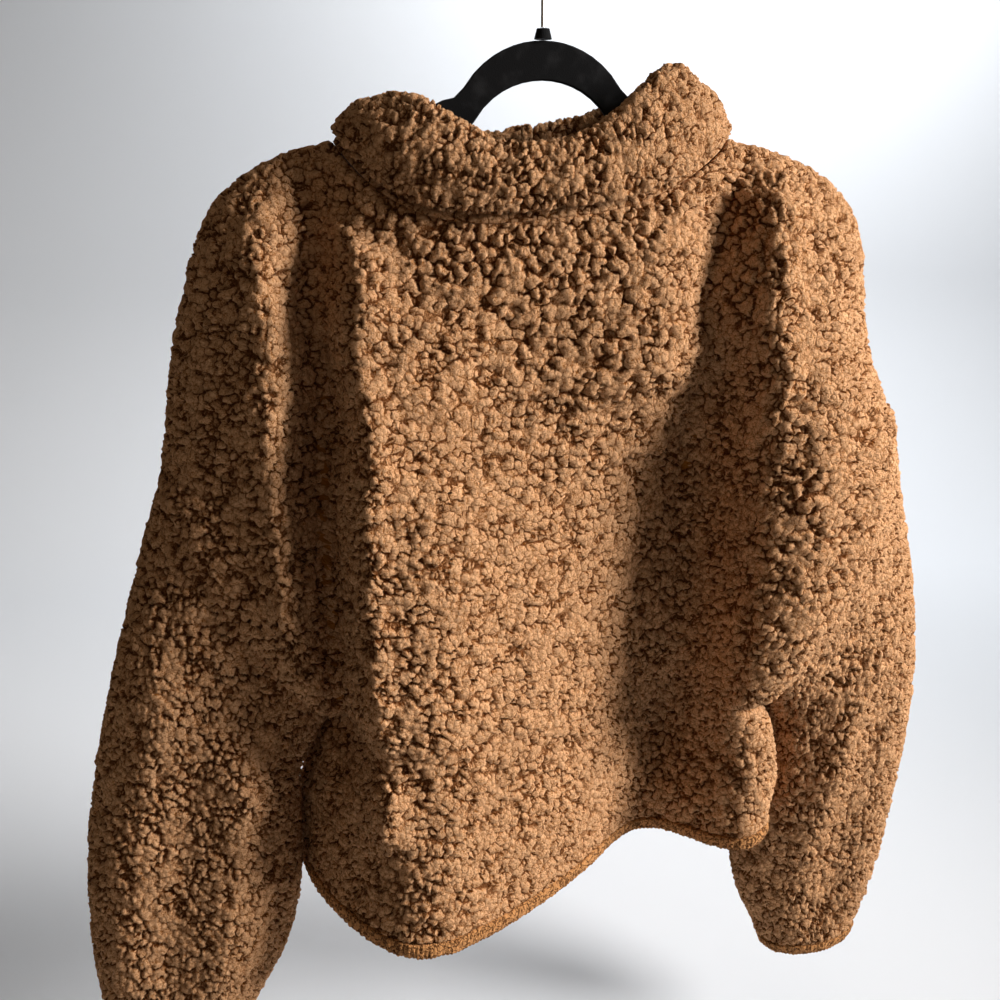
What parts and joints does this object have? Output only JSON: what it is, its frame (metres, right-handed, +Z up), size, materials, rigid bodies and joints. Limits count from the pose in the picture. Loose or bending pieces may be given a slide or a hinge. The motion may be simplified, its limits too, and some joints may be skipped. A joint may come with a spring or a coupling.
{
  "type": "sherpa jacket on hanger",
  "caption": "Cropped oversized sherpa fleece jacket in caramel brown, hanging with a turned-over collar on a slim black flocked hanger.",
  "frame": {"origin": "inner top of the hanger's hook, where the rail carries it", "axes": "+Z up, +X towards the jacket's left sleeve, -Y towards its front"},
  "size_m": [0.7382, 0.2369, 0.9406],
  "materials": {
    "sherpa": "curly pile",
    "binding": "overlocked knit edge",
    "flock": "velvet flock",
    "wire": "satin plated"
  },
  "bodies": {
    "root": {"back": "sherpa", "front_left": "sherpa", "front_right": "sherpa", "sleeve_left": "sherpa", "sleeve_right": "sherpa", "collar": "sherpa", "neck_band": "sherpa", "hem_back": "binding", "hem_front_left": "binding", "hem_front_right": "binding", "cuff_left": "binding", "cuff_right": "binding", "hanger": "flock", "hanger_boss": "flock", "hanger_hook": "wire"}
  },
  "joints": []
}
